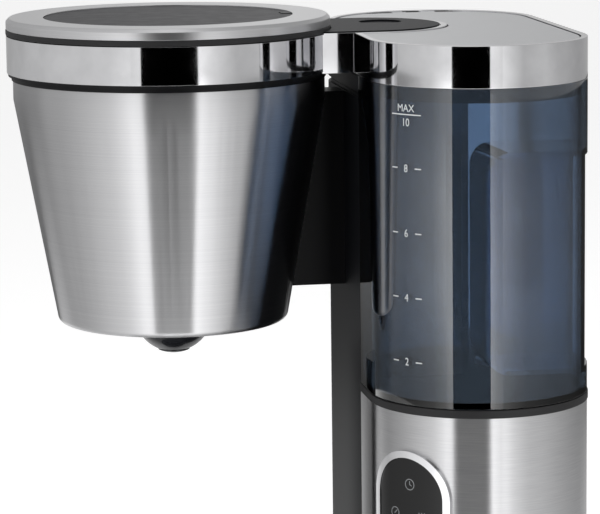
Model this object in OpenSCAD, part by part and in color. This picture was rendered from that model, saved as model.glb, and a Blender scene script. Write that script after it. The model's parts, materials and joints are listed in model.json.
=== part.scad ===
/* [Plan] */
// Distance from the basket axis to the middle of the tower
reach = 130.5; // [128:0.5:150]
// Gap between the band round the basket and the tower
arm_gap = 5.75; // [5:0.25:8]
// Width of the tower
tower_w = 99.5; // [96:0.5:104]
// Depth of the tower
tower_d = 195; // [195:1:215]
// How far the base under the jug stands out beyond the band
base_lip = 1; // [0.5:0.5:3]

/* [Heights] */
// Height of the rubber feet
foot_h = 3; // [2:0.5:5]
// Height of the plinth under the tower
plinth_h = 15; // [14:0.5:20]
// Height of the base under the jug
base_h = 33; // [32:0.5:40]
// Height of the steel body
steel_h = 169.8; // [160:0.2:190]
// Height of the black ring that the tank stands on
seat_ring_h = 3.7; // [3:0.1:6]
// Height of the clear tank wall
tank_h = 142.7; // [140:0.1:170]
// Height of the tank's polished lid frame
lid_h = 18.7; // [17:0.1:24]

/* [Walls and clearances] */
// Wall of the moulded housings
wall = 2.5; // [2:0.1:3.5]
// Thickness of the steel sheet
sheet = 1.2; // [0.8:0.1:1.5]
// Gap between pieces that come apart
fit = 0.3; // [0.2:0.05:0.5]
// Gap between fixed panels
seam = 0.2; // [0.1:0.05:0.4]
// Radial clearance of a sliding fit
slide_fit = 0.1; // [0.05:0.01:0.15]
// Radial clearance of a pin in its knuckle
pin_fit = 0.05; // [0.02:0.01:0.08]

/* [Column] */
// Width of the column, taken from the tower's left side
column_w = 47.5; // [44:0.1:50]
// How far the column's front face lies ahead of the arm's side
column_lead = 10; // [8:0.5:14]
// Height of the head that joins the column to the arm
column_head_h = 8.8; // [7:0.1:14]
// Depth and half height of the groove below the head
groove = 1.3; // [0.8:0.1:1.8]

/* [Arm and band] */
// Height of the polished band
band_h = 17.1; // [16:0.1:22]
// Wall of the band and of the arm
band_wall = 2; // [1.5:0.1:2.5]
// Half the width of the arm
arm_half = 35; // [30:0.5:36]
// Thickness of the arm's dark cap that shows above the walls
cap_t = 0.7; // [0.5:0.1:1.5]
// Radius of the round dish in the cap
dish_r = 10; // [6:0.5:12]

/* [Basket] */
// How far the steel cone's top lies inside the band
cone_step = 2.7; // [2:0.1:4]
// How much the steel cone narrows down to its foot
cone_taper = 18.8; // [16:0.2:22]
// Height of the steel cone
cone_h = 114; // [100:1:118]
// Height of the straight collar at the cone's top
collar_h = 9; // [5:0.5:14]
// Rounding of the cone's foot
foot_round = 3.5; // [2:0.5:5]
// Thickness of the moulded basket holder
holder_wall = 2.2; // [1.6:0.1:3]
// Wall of the filter insert
insert_wall = 1.6; // [1.2:0.1:2]
// Width of the web between basket and column
web_w = 18; // [12:1:24]
// Height of the web
web_h = 91.2; // [70:1:95]
// Gap between the web and the arm above it
web_drop = 11; // [9:0.5:20]

/* [Basket lid] */
// Width of the steel ring round the smoked window
lid_ring_w = 17.5; // [15:0.5:24]
// Height of the steel lid ring
lid_ring_h = 5.1; // [4.5:0.1:8]
// Height of the lid seal
seal_h = 2.6; // [2:0.1:4]
// Bevel of the lid ring's top edge
lid_bevel = 1.5; // [0.8:0.1:2]
// Distance from the band's outside to the shower dish
shower_inset = 25; // [24:0.5:30]
// Depth of the shower dish's floor below the lid
shower_depth = 17.4; // [16:0.1:18]
// Radius of the wide hole in the middle of the shower dish
shower_mouth_r = 4; // [3.6:0.1:5]

/* [Water parts] */
// Outer radius of the metal pipes
pipe_r = 4; // [3.5:0.1:4.5]
// Bore radius of the metal pipes
pipe_bore = 3; // [2.4:0.1:3.2]
// Wall of the silicone hoses
hose_wall = 1.2; // [1:0.1:1.5]
// Centre line radius of the pipe bends
bend_r = 14; // [12:1:18]
// Distance of the hot pipe behind the basket axis
hot_back = 12; // [8:1:16]
// Distance of the cold pipe in front of the basket axis
cold_front = 24; // [18:1:28]
// Distance from the base's edge to the heater's middle
heater_inset = 34; // [32:1:38]
// Distance from the base's edge to the warming plate
plate_inset = 19; // [16:1:22]
// How far the drip stop's dome hangs below the cone
drip_show = 15.8; // [12:0.1:18]
// Radius of the drip stop's dome
drip_r = 18.4; // [16:0.1:20]
// Travel of the sprung stoppers
stop_travel = 3; // [2:0.5:3]

/* [Tank] */
// Wall of the tank
tank_wall = 2.5; // [2:0.1:3]
// Front edge of the grip pocket, ahead of the tower's middle
pocket_front = 70; // [66:0.5:74]
// Back edge of the grip pocket, ahead of the tower's middle
pocket_back = 34.5; // [30:0.5:40]
// Depth of the grip pocket
pocket_deep = 49; // [35:1:50]
// Height of the grip pocket's floor above the tank's foot
pocket_low = 12.5; // [10:0.5:20]
// Height of the grip pocket
pocket_h = 96; // [80:1:110]
// Rounding of the pocket's far corners, above and below
pocket_round = 9; // [6:0.5:12]
// Distance from the tower's middle to the tank valve
valve_side = 21.6; // [18:0.2:24]
// Width of the lid frame's rim
rim_w = 3; // [2.5:0.1:4]
// Thickness of the filling flap
flap_t = 2.2; // [1.8:0.1:3]

/* [Control panel] */
// Angle of the panel from straight ahead
panel_turn = 51.5; // [45:0.5:60]
// Width of the panel's frame
panel_w = 42.8; // [40:0.1:46]
// Height of the panel's frame
panel_h = 78; // [72:1:90]
// Width of the frame's border
panel_border = 3.4; // [2:0.1:4]
// How far the frame stands proud of the steel
panel_proud = 1.8; // [1.4:0.1:2.5]
// Distance from the panel's top to the steel body's top
panel_drop = 16.7; // [14:0.1:22]
// Radius of the push keys
key_r = 4.4; // [3.5:0.1:5]
// Travel of the push keys
key_travel = 1.2; // [0.8:0.1:1.4]

/* [Hidden] */

round_fn = 96;
hole_fn = 48;
far = 400;
cut = 1;

// Plan: the machine's bounding box is centred on the origin
end_r = tower_w / 2;
ring_proud = 0.5;
band_r = reach - end_r - arm_gap;
base_r = band_r + base_lip;
bx = -(reach + end_r + ring_proud - base_r) / 2;
by = tower_d / 2 - base_r;
tx = bx + reach;
end_y = tower_d / 2 - end_r;
left_x = tx - end_r;
column_right = left_x + column_w;
column_front = arm_half + column_lead - by;
arm_reach = reach - end_r + column_w - arm_half - fit;
arm_x = bx + arm_reach;
bridge_back = 46;
bridge_in = 10;

// Heights of the stacked pieces
plinth_top = foot_h + plinth_h;
base_top = foot_h + base_h;
steel_top = plinth_top + steel_h;
ring_top = steel_top + seat_ring_h;
tank_foot = ring_top + fit;
lid_foot = ring_top + tank_h;
lid_top = lid_foot + lid_h;
head_top = lid_foot - 0.4;
column_top = head_top - column_head_h;
band_foot = lid_foot + 0.7;
band_top = band_foot + band_h;
arm_foot = lid_foot;
arm_top = lid_top - fit;
seal_foot = band_top + fit;
lid_ring_foot = seal_foot + seal_h;
lid_ring_top = lid_ring_foot + lid_ring_h;

// Basket
seal_proud = 0.2;
holder_rim = 3.4;
cone_top = band_foot - holder_rim;
cone_foot = cone_top - cone_h;
cone_top_r = band_r - cone_step;
cone_foot_r = cone_top_r - cone_taper;
cone_slope = (cone_top_r - cone_foot_r) / (cone_h - collar_h);
holder_floor = 3;
insert_gap = 1;
rib_start = 9;
insert_flange = 1.5;
foot_hole_r = cone_foot_r - 7;
window_r = band_r - lid_ring_w;
shower_r = band_r - shower_inset;
head_sink = slide_fit;
web_top = arm_foot - web_drop;
web_foot = web_top - web_h;

// Base parts
cover_t = 2;
cover_top = foot_h + cover_t;
top_t = 3;
plate_t = 1.5;
plate_lip = 2;
plate_ledge = base_top - 1.5;
plate_under = plate_ledge + plate_lip;
seal_w = 4;
plate_r = base_r - plate_inset;
heater_r = base_r - heater_inset;
heater_w = 13;
vent_l = 44;
vent_w = 4;
vent_step = 9;
heater_foot = plate_under - heater_w;
pipe_z = heater_foot + pipe_r + 0.2;
foot_r = 7;
foot_inset = 18;
foot_ring = base_r - foot_inset;
fuse_r = 2.2;
fuse_l = 16;
screw_inset = 6.5;
screw_r = 1.5;
screw_head_r = 3;
screw_head_h = 1.6;
screw_l = 11;
boss_r = 4.3;
gland_r = 5;
gland_bore = 3.2;
gland_l = 10;
gland_z = foot_h + plinth_h / 2;
screw_at = concat(
  [for (a = [65, 140, 220, 295])
    [bx + (base_r - screw_inset) * cos(a), by + (base_r - screw_inset) * sin(a)]],
  [[tx, -tower_d / 2 + screw_inset],
   [tx + (end_r - screw_inset) * cos(55), end_y + (end_r - screw_inset) * sin(55)]]);
feet_at = concat(
  [for (a = [100, 180, 260]) [bx + foot_ring * cos(a), by + foot_ring * sin(a)]],
  [for (s = [-1, 1]) [tx, s * (tower_d / 2 - foot_inset)]]);

// Water parts
hot_y = by + hot_back;
cold_y = by - cold_front;
hot_angle = asin(hot_back / heater_r);
cold_angle = asin(cold_front / heater_r);
hose_r = pipe_r + hose_wall;
clamp_w = 5;
clamp_t = 0.8;
port_r = hose_r + clamp_t + fit;
stub_inset = 14;
sleeve_over = 10;
stub_end = bx + base_r - stub_inset;
sleeve_start = stub_end - sleeve_over;
riser_start = stub_end + 4;
hot_hose_end = riser_start + sleeve_over;
riser_x = left_x + column_w / 2;
arm_pipe_z = arm_foot + 9;
valve_x = tx + valve_side;
check_inset = 18;
check_x = left_x + check_inset;
check_l = 22;
check_end = 4;
check_r = 7.5;
barb_l = 8;
nipple_l = 12;

// Tank valve and drip stop
spigot_r = 9;
spigot_l = 7.5;
socket_depth = 12;
socket_wall = 2;
deck_t = 2.5;
button_r = 4.8;
stem_r = 2;
head_r = 6.5;
drip_button_r = 7.4;
drip_stem_r = 3;
drip_foot = cone_foot - drip_show;
drip_neck = 6.3;
dome_r = (drip_r * drip_r + drip_show * drip_show) / (2 * drip_show);
drip_button_top = drip_foot + 4;
drip_head_h = 2;
drip_seal_h = 1;
spring_top = cone_foot + 1.7;
plunger_show = 0.5;
spring_wire = 0.4;
insert_rise = drip_neck + drip_seal_h + drip_head_h + stop_travel + 2 * seam;

// Lid of the tank
collar_reach = 6.5;
collar_wall = 2;
flap_gap = 0.7;
flap_top = lid_top - 0.5;
flap_foot = flap_top - flap_t;
tray_t = 2;
tray_top = flap_foot - fit;
flap_pin_r = 1;
knuckle_r = 1.9;
knuckle_l = 7;
hinge_half = 1.5 * knuckle_l + seam;
rim_r = end_r - rim_w;
flap_pin_y = end_y + sqrt(rim_r * rim_r - hinge_half * hinge_half) - knuckle_r - fit;
flap_pin_z = flap_top - knuckle_r;
flap_back = 4;
ear_l = 7;

// Panel
panel_z = steel_top - panel_drop - panel_h / 2;
face_w = panel_w - 2 * panel_border;
face_h = panel_h - 2 * panel_border;
face_out = end_r + panel_proud - 0.5;
face_in = end_r - 3;
board_depth = 12;
board_x = end_r - board_depth;
board_t = 1.6;
board_w = 28;
board_h = 62;
post_y = board_w / 2 - 1.7;
post_low = 17;
post_z = [-board_h / 2 + post_low, board_h / 2 - 4];
key_z = -24;
key_side = 7.5;
display_w = 24;
display_h = 12;
display_z = -4;

// ---------------------------------------------------------------- helpers

// A flat outline raised between two heights
module slab(low, high) {
  translate([0, 0, low]) linear_extrude(high - low) children();
}

module disc(r, low, high, fn = round_fn) {
  translate([0, 0, low]) cylinder(r = r, h = high - low, $fn = fn);
}

module ring(outer, inner, low, high, fn = round_fn) {
  difference() {
    disc(outer, low, high, fn);
    disc(inner, low - cut, high + cut, fn);
  }
}

module at_basket() {
  translate([bx, by, 0]) children();
}

module along_x(x, y, z) {
  translate([x, y, z]) rotate([0, 90, 0]) children();
}

// Plan of the tower: a straight-sided outline with round ends
module tower_plan(inset = 0) {
  r = end_r - inset;
  for (s = [-1, 1]) translate([tx, s * end_y]) circle(r = r, $fn = round_fn);
  translate([tx - r, -end_y]) square([2 * r, 2 * end_y]);
}

// The corner of the tower that the column takes up
module column_zone(grow = 0) {
  translate([tx - tower_w, -column_front - grow])
    square([end_r + column_w + grow, tower_d]);
}

module column_plan(inset = 0) {
  intersection() {
    tower_plan(inset);
    column_zone(-inset);
  }
}

module tank_plan(inset = 0) {
  difference() {
    tower_plan(inset);
    column_zone(2 * fit + inset);
  }
}

// Plan of the arm: straight sides with a round end over the column
module arm_zone(half) {
  translate([arm_x, by]) circle(r = half, $fn = round_fn);
  translate([bx, by - half]) square([arm_reach, 2 * half]);
}

module lid_plan(inset = 0) {
  difference() {
    tower_plan(inset);
    arm_zone(arm_half + fit + inset);
  }
}

// Plan of the base under the jug, with its bridge to the tower
module left_plan(inset = 0) {
  translate([bx, by]) circle(r = base_r - inset, $fn = round_fn);
  translate([bx, by - base_r + inset])
    square([left_x + bridge_in - bx, base_r + bridge_back - 2 * inset]);
}

module base_plan(inset = 0) {
  tower_plan(inset);
  left_plan(inset);
}

// Solid inside the steel cone's outer face, drawn in by an inset
module cone_solid(inset, low, high) {
  s = cone_slope;
  q = max(foot_round - inset, 0.5);
  lean = sqrt(1 + s * s);
  foot = cone_foot_r - inset + s * (low - cone_foot);
  top = cone_top_r - inset;
  collar = cone_top - collar_h;
  cx = foot + s * q - q * lean;
  at_basket() rotate_extrude($fn = round_fn) {
    translate([cx, low + q]) circle(r = q, $fn = hole_fn);
    polygon([[0, low], [cx, low], [cx + q / lean, low + q - q * s / lean],
      [top, collar], [top, high], [0, high]]);
  }
}

// Pipe with a straight run along -X, a quarter bend and a straight run up
module bent_pipe(outer, inner, start_x, end_x, y, low, high) {
  difference() {
    pipe_core(outer, start_x, end_x, y, low, high, 0);
    pipe_core(inner, start_x, end_x, y, low, high, cut);
  }
}

// sign of (end_x - start_x) tells which side the bend is on
module pipe_core(r, start_x, end_x, y, low, high, over) {
  side = sign(end_x - start_x);
  run = abs(end_x - start_x) - bend_r;
  translate([end_x, y, low]) mirror([side > 0 ? 0 : 1, 0, 0]) {
    translate([-bend_r - run - over, 0, 0]) rotate([0, 90, 0])
      cylinder(r = r, h = run + over, $fn = hole_fn);
    translate([-bend_r, 0, bend_r]) rotate([90, 0, 0])
      rotate_extrude(angle = -90, $fn = round_fn)
        translate([bend_r, 0]) circle(r = r, $fn = hole_fn);
    translate([0, 0, bend_r]) cylinder(r = r, h = high - low - bend_r + over, $fn = hole_fn);
  }
}

// Round wire spring standing between two heights
module coil(r, wire, turns, low, high) {
  sides = 8;
  steps = 20 * turns;
  rise = high - low - 2 * wire;
  rings = [for (i = [0:steps]) let (a = 360 * turns * i / steps)
    [for (j = [0:sides - 1]) let (b = 360 * j / sides, q = r + wire * cos(b))
      [q * cos(a), q * sin(a), low + wire + rise * i / steps + wire * sin(b)]]];
  skin = [for (i = [0:steps - 1]) for (j = [0:sides - 1]) let (k = (j + 1) % sides)
    [i * sides + j, (i + 1) * sides + j, (i + 1) * sides + k, i * sides + k]];
  ends = [[for (j = [0:sides - 1]) j], [for (j = [sides - 1:-1:0]) steps * sides + j]];
  polyhedron([for (c = rings) each c], concat(skin, ends));
}

// Oblong outline, taller than it is wide
module oblong(w, h) {
  for (s = [-1, 1]) translate([0, s * (h - w) / 2]) circle(r = w / 2, $fn = round_fn);
  square([w, h - w], center = true);
}

// Places children on the tower's front curve, +X pointing out of the panel
module at_panel() {
  translate([tx, -end_y, panel_z]) rotate([0, 0, -90 - panel_turn]) children();
}

// Curved plate between two radii, cut to a flat outline seen from outside
module curved_plate(inner, outer) {
  intersection() {
    difference() {
      translate([0, 0, -panel_h]) cylinder(r = outer, h = 2 * panel_h, $fn = round_fn);
      translate([0, 0, -far]) cylinder(r = inner, h = 2 * far, $fn = round_fn);
    }
    panel_prism() children();
  }
}

module panel_prism() {
  rotate([90, 0, 90]) linear_extrude(2 * end_r) children();
}

module key_axis(side) {
  translate([0, side * key_side, key_z]) rotate([0, 90, 0]) children();
}

// ---------------------------------------------------------------- base

module base_housing() color("#26272a") difference() {
  union() {
    difference() {
      union() {
        slab(foot_h, plinth_top) base_plan();
        slab(plinth_top, base_top) difference() {
          left_plan();
          tower_plan(-seam);
        }
      }
      slab(foot_h - cut, cover_top + seam) base_plan(wall);
      slab(foot_h, plinth_top + cut) tower_plan(wall);
      slab(foot_h, base_top - top_t) difference() {
        left_plan(wall);
        tower_plan(-seam - wall);
      }
    }
    for (i = [0:len(screw_at) - 1]) translate([screw_at[i][0], screw_at[i][1], 0])
      disc(boss_r, cover_top + seam, i < 4 ? base_top - top_t + cut : plinth_top - seam, hole_fn);
    gland_boss();
  }
  at_basket() {
    disc(plate_r - wall, foot_h, base_top + cut);
    disc(plate_r + seal_w, plate_ledge, base_top + cut);
  }
  for (p = screw_at) translate([p[0], p[1], 0])
    disc(screw_r + pin_fit, cover_top, foot_h + screw_l + cut, hole_fn);
  for (y = [hot_y, cold_y]) along_x(bx + base_r / 2, y, pipe_z)
    cylinder(r = port_r, h = reach, $fn = hole_fn);
  gland_hole();
}

// Thick pad behind the rear wall that carries the cable gland
module gland_boss() {
  translate([0, -wall, 0]) intersection() {
    translate([tx, tower_d / 2 + wall / 2, gland_z]) rotate([90, 0, 0])
      cylinder(r = gland_r + wall, h = 3 * wall, $fn = hole_fn);
    slab(cover_top + seam, plinth_top) translate([tx - base_r, 0]) square(2 * base_r);
  }
}

module gland_hole() {
  translate([tx, tower_d / 2 + cut, gland_z]) rotate([90, 0, 0]) {
    cylinder(r = gland_r + seam, h = 6 * wall, $fn = hole_fn);
    cylinder(r = gland_r + 1.5 + seam, h = 2 + cut, $fn = hole_fn);
  }
}

module base_cover() color("#3a3b3e") difference() {
  slab(foot_h, cover_top) base_plan(wall + seam);
  for (p = screw_at) translate([p[0], p[1], 0]) {
    disc(screw_r + slide_fit, foot_h - cut, cover_top + cut, hole_fn);
    disc(screw_head_r + slide_fit, foot_h - cut, foot_h + screw_head_h, hole_fn);
  }
  // ventilation slots below the heater
  for (i = [-3:3]) translate([bx - vent_l / 2, by + vent_step * i - vent_w / 2, foot_h - cut])
    cube([vent_l, vent_w, cover_t + 2 * cut]);
}

module feet() color("#1b1b1c") for (p = feet_at) translate([p[0], p[1], 0]) {
  disc(foot_r, 0, foot_h, hole_fn);
}

module base_screws() color("#9a9c9f") for (p = screw_at) translate([p[0], p[1], 0])
  difference() {
    union() {
      disc(screw_head_r, foot_h, foot_h + screw_head_h, hole_fn);
      disc(screw_r, foot_h, foot_h + screw_l, hole_fn);
    }
    for (a = [0, 90]) rotate([0, 0, a])
      translate([-2, -0.35, foot_h - cut]) cube([4, 0.7, cut + 0.9]);
  }

module cable_gland() color("#1d1e20") translate([tx, tower_d / 2 - 0.6, gland_z])
  rotate([90, 0, 0]) difference() {
    union() {
      cylinder(r = gland_r + 1.5, h = 1.4, $fn = hole_fn);
      cylinder(r = gland_r, h = gland_l, $fn = hole_fn);
    }
    translate([0, 0, -cut]) cylinder(r = gland_bore, h = gland_l + 2 * cut, $fn = hole_fn);
  }

module warming_plate() color("#2b2b2d") at_basket() {
  disc(plate_r, plate_under, plate_under + plate_t);
  ring(plate_r, plate_r - plate_t, plate_ledge, plate_under + plate_t / 2);
}

module plate_seal() color("#161617") at_basket()
  ring(plate_r + seal_w - slide_fit, plate_r + slide_fit, plate_ledge, base_top + 1);

// Cast horseshoe with its water pipe, open towards the tower
module heater() color("#b9bcc0") difference() {
  union() {
    at_basket() rotate([0, 0, hot_angle])
      rotate_extrude(angle = 360 - hot_angle - cold_angle, $fn = round_fn)
        translate([heater_r - heater_w / 2, heater_foot]) square(heater_w);
    for (y = [hot_y, cold_y]) along_x(stub_start(y), y, pipe_z)
      cylinder(r = pipe_r, h = stub_end - stub_start(y), $fn = hole_fn);
  }
  for (y = [hot_y, cold_y]) along_x(stub_start(y) + 2, y, pipe_z)
    cylinder(r = pipe_bore, h = reach, $fn = hole_fn);
}

// Where a water stub starts, just inside the casting's end
function stub_start(y) = bx + sqrt(heater_r * heater_r - (y - by) * (y - by)) - heater_w / 4;

// Straps under the heater, each on two studs from the warming plate
module heater_clamps() color("#8e9196") at_basket() for (a = [95, 180, 265]) rotate([0, 0, a]) {
  span = heater_w / 2 + 3;
  translate([heater_r - span - 2, -4, heater_foot - plate_t])
    cube([2 * span + 4, 8, plate_t]);
  for (s = [-1, 1]) translate([heater_r + s * span, 0, 0])
    disc(screw_r, heater_foot - plate_t, plate_under, hole_fn);
}

// Ceramic button with two blade terminals
module thermostat() color("#d7d2c4") at_basket() rotate([0, 0, 140])
  translate([heater_r, 0, heater_foot]) {
    button_h = 7;
    blade = [6, 0.8, 6.5];
    disc(5.8, -button_h, 0, hole_fn);
    for (s = [-1, 1]) translate([0, 3 * s, -button_h - blade[2] / 2 + cut / 2])
      cube(blade, center = true);
  }

module thermal_fuse() color("#c9a24a") at_basket() rotate([0, 0, 222])
  translate([heater_r, 0, heater_foot - fuse_r]) rotate([90, 0, 0])
    cylinder(r = fuse_r, h = fuse_l, center = true, $fn = hole_fn);

// ---------------------------------------------------------------- water line

module check_valve() color("#e4e2db") along_x(check_x, cold_y, pipe_z) difference() {
  union() {
    cylinder(r = check_r, h = check_l, $fn = hole_fn);
    translate([0, 0, -barb_l]) cylinder(r = pipe_r, h = check_l + 2 * barb_l, $fn = hole_fn);
  }
  translate([0, 0, -barb_l - cut]) cylinder(r = pipe_bore, h = far, $fn = hole_fn);
  translate([0, 0, check_end])
    cylinder(r = check_r - 2, h = check_l - 2 * check_end, $fn = hole_fn);
}

// Straight silicone sleeve between two pipe ends
module sleeve(from, to, y) {
  along_x(from, y, pipe_z) difference() {
    cylinder(r = hose_r, h = to - from, $fn = hole_fn);
    translate([0, 0, -cut]) cylinder(r = pipe_r + pin_fit, h = to - from + 2 * cut, $fn = hole_fn);
  }
}

module cold_hose() color("#ded9d0") sleeve(sleeve_start, check_x - seam, cold_y);

module hot_hose() color("#ded9d0") sleeve(sleeve_start, hot_hose_end, hot_y);

module feed_hose() color("#ded9d0")
  bent_pipe(hose_r, pipe_r + pin_fit, check_x + check_l + seam, valve_x, cold_y,
    pipe_z, steel_top - deck_t - socket_depth - seam);

// Steel pipe: along the base, up inside the column and out through the arm
module riser_pipe() color("#c4c7ca") difference() {
  riser_half(pipe_r, 0);
  riser_half(pipe_bore, cut);
  at_basket() disc(band_r - band_wall, 0, far);
}

module riser_half(r, over) {
  middle = (pipe_z + arm_pipe_z) / 2;
  pipe_core(r, riser_start, riser_x, hot_y, pipe_z, middle, over);
  translate([0, 0, 2 * middle]) mirror([0, 0, 1])
    pipe_core(r, bx + band_r - 2 * band_wall, riser_x, hot_y, pipe_z, middle, over);
}

module hose_clamps() color("#a9acb0") {
  starts = [
    [sleeve_start + 2, cold_y], [check_x - barb_l + 1, cold_y],
    [check_x + check_l + 2, cold_y], [sleeve_start + 2, hot_y], [hot_hose_end - 7, hot_y]];
  for (p = starts) along_x(p[0], p[1], pipe_z)
    ring(hose_r + clamp_t, hose_r + pin_fit, 0, clamp_w, hole_fn);
  translate([valve_x, cold_y, 0])
    ring(hose_r + clamp_t, hose_r + pin_fit, steel_top - deck_t - socket_depth - nipple_l + 2,
      steel_top - deck_t - socket_depth - nipple_l + 2 + clamp_w, hole_fn);
}

// ---------------------------------------------------------------- tower

module steel_body() color("#b4b5b7") difference() {
  slab(plinth_top, steel_top) difference() {
    tower_plan();
    tower_plan(sheet);
    column_zone(seam);
  }
  at_panel() panel_prism() oblong(face_w + 2 * seam, face_h + 2 * seam);
}

// Moulded column: open towards the tower's inside below the tank
module column() color("#2c2d31") difference() {
  union() {
    slab(plinth_top, column_top - groove) column_plan();
    slab(column_top - groove - cut, column_top) column_plan(groove);
  }
  slab(plinth_top - cut, column_top + cut) column_plan(wall + 0.2);
  slab(plinth_top - cut, steel_top - deck_t) difference() {
    translate([column_right - 2 * wall, -column_front + 2 * wall]) square([tower_w, tower_d]);
    translate([column_right, -tower_d]) square([far, far]);
    difference() {
      translate([0, end_y]) square([far, far]);
      tower_plan(wall);
    }
  }
  for (y = [hot_y, cold_y]) along_x(left_x - cut, y, pipe_z)
    cylinder(r = port_r, h = 3 * wall, $fn = hole_fn);
}

module column_head() color("#323337") difference() {
  union() {
    slab(column_top, column_top + groove + cut) column_plan(groove);
    slab(column_top + groove, head_top) column_plan();
  }
  slab(column_top - cut, head_top + cut) column_plan(wall + 0.2);
}

// Deck on top of the steel body, with the cup that takes the tank's valve
module tank_socket() color("#202124") {
  cup_r = spigot_r + 3;
  cup_foot = steel_top - deck_t - socket_depth;
  difference() {
    union() {
      slab(steel_top - deck_t, steel_top) difference() {
        tower_plan(sheet + seam);
        column_zone(seam);
      }
      translate([valve_x, cold_y, 0]) {
        disc(cup_r + socket_wall, cup_foot, steel_top - cut, hole_fn);
        disc(pipe_r, cup_foot - nipple_l, cup_foot + cut, hole_fn);
      }
    }
    translate([valve_x, cold_y, 0]) {
      disc(cup_r, cup_foot + socket_wall, steel_top + cut, hole_fn);
      disc(pipe_bore, cup_foot - nipple_l - cut, far, hole_fn);
    }
  }
  // post that holds the tank's valve open
  translate([valve_x, cold_y, 0]) {
    disc(stem_r - 0.5, cup_foot + socket_wall - cut, tank_foot - spigot_l - fit + 2, hole_fn);
    translate([-cup_r + 2, -1, cup_foot + socket_wall - cut / 2])
      cube([2 * cup_r - 4, 2, 1.5 + cut / 2]);
  }
}

module tank_gasket() color("#141415") translate([valve_x, cold_y, 0])
  ring(spigot_r + 3 - pin_fit, spigot_r + slide_fit, steel_top - 3, steel_top, hole_fn);

// Proud black ring that the tank stands on
module seat_ring() color("#1c1d1f") slab(steel_top, ring_top) difference() {
  tower_plan(-ring_proud);
  tower_plan(tank_wall + 2);
  column_zone(fit);
}

// ---------------------------------------------------------------- control panel

module panel_frame() color("#c8cacc") at_panel() difference() {
  curved_plate(end_r + pin_fit, end_r + panel_proud) oblong(panel_w, panel_h);
  panel_prism() oblong(face_w + 2 * seam, face_h + 2 * seam);
}

module panel_face() color("#0e0f11") at_panel() {
  difference() {
    curved_plate(face_in, face_out) oblong(face_w, face_h);
    for (s = [-1, 1]) key_axis(s) cylinder(r = key_r + slide_fit, h = far, $fn = hole_fn);
    display_plate(seam);
  }
  for (y = [-post_y, post_y], z = post_z) translate([board_x, y, z]) rotate([0, 90, 0])
    cylinder(r = 1.6, h = face_in - board_x - 0.5, $fn = hole_fn);
}

module display_lens() color("#101418") at_panel() display_plate(0);

// The display's window, or its pocket when it is grown by a gap
module display_plate(gap) {
  curved_plate(end_r - 1 - gap, face_out + cut * sign(gap)) translate([0, display_z])
    square([display_w + 2 * gap, display_h + 2 * gap], center = true);
}

module control_board() color("#1d5a3a") at_panel()
  translate([board_x - board_t, -board_w / 2, -board_h / 2]) cube([board_t, board_w, board_h]);

module key_switches() color("#2a2a2c") at_panel() for (s = [-1, 1])
  translate([board_x, s * key_side - 3, key_z - 3]) {
    cube([2.6, 6, 6]);
    translate([2.5, 3, 3]) rotate([0, 90, 0]) cylinder(r = 1.7, h = 1, $fn = hole_fn);
  }

// Round push key with a collar behind the face
module push_key(side) {
  at_panel() key_axis(side) {
    translate([0, 0, end_r - 6.8]) cylinder(r = key_r, h = 6.8 + panel_proud, $fn = hole_fn);
    translate([0, 0, end_r - 6.8]) cylinder(r = key_r + 1.2, h = 0.9, $fn = hole_fn);
  }
}

module power_key() color("#3b3d41") push_key(1);

module timer_key() color("#3b3d41") push_key(-1);

// ---------------------------------------------------------------- arm

// Polished band round the basket, running on as the arm's side walls
module arm_band() color("#d5d7d9") difference() {
  union() {
    at_basket() disc(band_r, band_foot, band_top);
    slab(arm_foot, arm_top) arm_outline(0);
  }
  at_basket() {
    disc(band_r - band_wall, arm_foot - cut, lid_top);
    disc(band_r + seal_proud + fit, band_top, lid_top);
  }
  slab(arm_foot - cut, arm_top + cut) arm_outline(band_wall);
  along_x(bx + band_r / 2, hot_y, arm_pipe_z)
    cylinder(r = pipe_r + slide_fit, h = band_r, $fn = hole_fn);
}

// Plan of the arm outside the basket's band
module arm_outline(inset) {
  difference() {
    arm_zone(arm_half - inset);
    translate([bx, by]) circle(r = band_r - (inset > 0 ? 0 : band_wall / 8), $fn = round_fn);
  }
}

module arm_tray() color("#1f2023") difference() {
  union() {
    slab(arm_foot, arm_foot + 2) tray_outline();
    slab(head_top, arm_foot + cut) intersection() {
      tray_outline();
      column_zone();
    }
  }
  translate([riser_x - 1.5, hot_y, 0]) disc(pipe_r + 3, 0, far, hole_fn);
}

module tray_outline() {
  difference() {
    arm_zone(arm_half - band_wall - slide_fit);
    translate([bx, by]) circle(r = band_r + slide_fit, $fn = round_fn);
  }
}

module arm_cap() color("#33343a") difference() {
  union() {
    slab(arm_top, arm_top + cap_t) cap_outline(0.2);
    slab(arm_top - 2, arm_top + cap_t / 2) cap_outline(band_wall + slide_fit);
  }
  // shallow round dish
  dish_depth = 0.9;
  translate([arm_x + dish_r - 0.5, by + dish_r + 2, arm_top + cap_t - dish_depth])
    cylinder(r = dish_r, h = dish_depth + cut, $fn = round_fn);
}

module cap_outline(inset) {
  difference() {
    arm_zone(arm_half - inset);
    translate([bx, by]) circle(r = band_r + seal_proud + fit, $fn = round_fn);
  }
}

// ---------------------------------------------------------------- basket

module cone_shell() color("#a9abad") difference() {
  cone_solid(0, cone_foot, cone_top);
  cone_solid(sheet, cone_foot + sheet, cone_top + cut);
  at_basket() disc(foot_hole_r, cone_foot - cut, cone_top);
  web_screw_holes(screw_r + slide_fit);
}

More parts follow.
